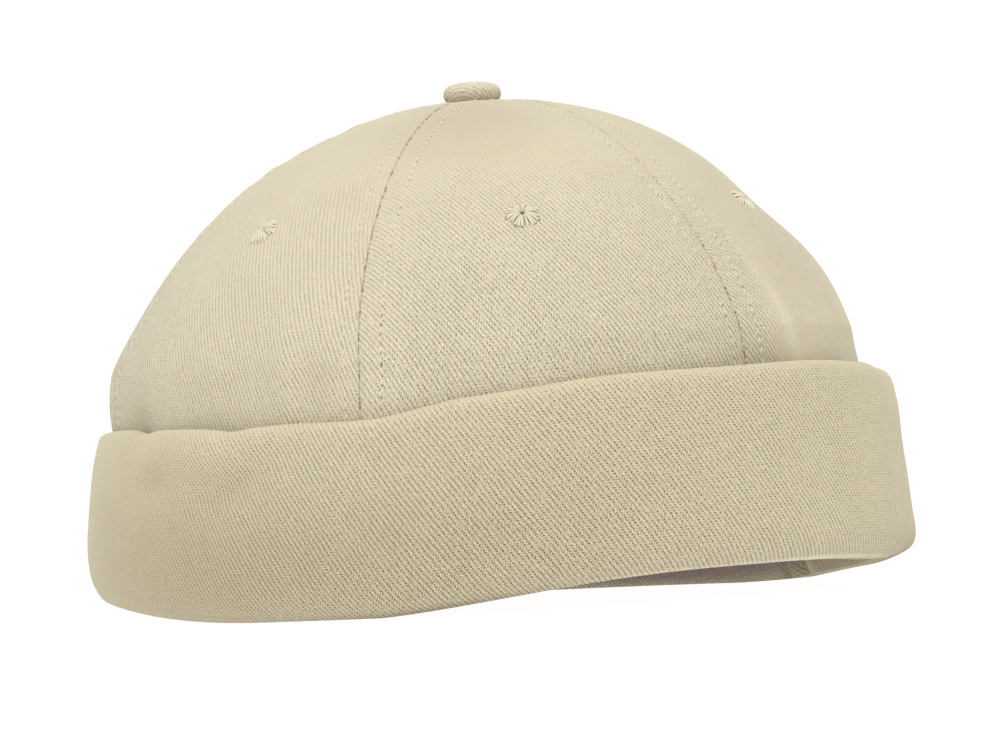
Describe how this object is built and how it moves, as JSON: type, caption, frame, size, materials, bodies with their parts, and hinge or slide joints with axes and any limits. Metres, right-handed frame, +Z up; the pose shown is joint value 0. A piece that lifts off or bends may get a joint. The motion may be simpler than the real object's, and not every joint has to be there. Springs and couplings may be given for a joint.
{
  "type": "docker cap",
  "caption": "Brimless beige cotton twill cap with a rounded panelled crown, a turned-up cuff, a covered top button and sewn eyelets.",
  "frame": {"origin": "middle of the overall box on the floor that the cuff's fold rests on", "axes": "+Z up along the crown, -Y to the front seam, +X to the right of somebody who looks at the front"},
  "size_m": [0.1971, 0.2196, 0.1307],
  "materials": {
    "crown_twill": "matte cotton twill",
    "cuff_twill": "matte cotton twill, folded",
    "button_twill": "matte cotton twill, gathered",
    "eyelet_thread": "soft sewing thread"
  },
  "bodies": {
    "root": {"crown_panel_1": "crown_twill", "crown_panel_2": "crown_twill", "crown_panel_3": "crown_twill", "crown_panel_4": "crown_twill", "crown_panel_5": "crown_twill", "crown_panel_6": "crown_twill", "cuff": "cuff_twill", "top_button": "button_twill", "eyelet_1": "eyelet_thread", "eyelet_2": "eyelet_thread", "eyelet_3": "eyelet_thread", "eyelet_4": "eyelet_thread", "eyelet_5": "eyelet_thread", "eyelet_6": "eyelet_thread"}
  },
  "joints": []
}
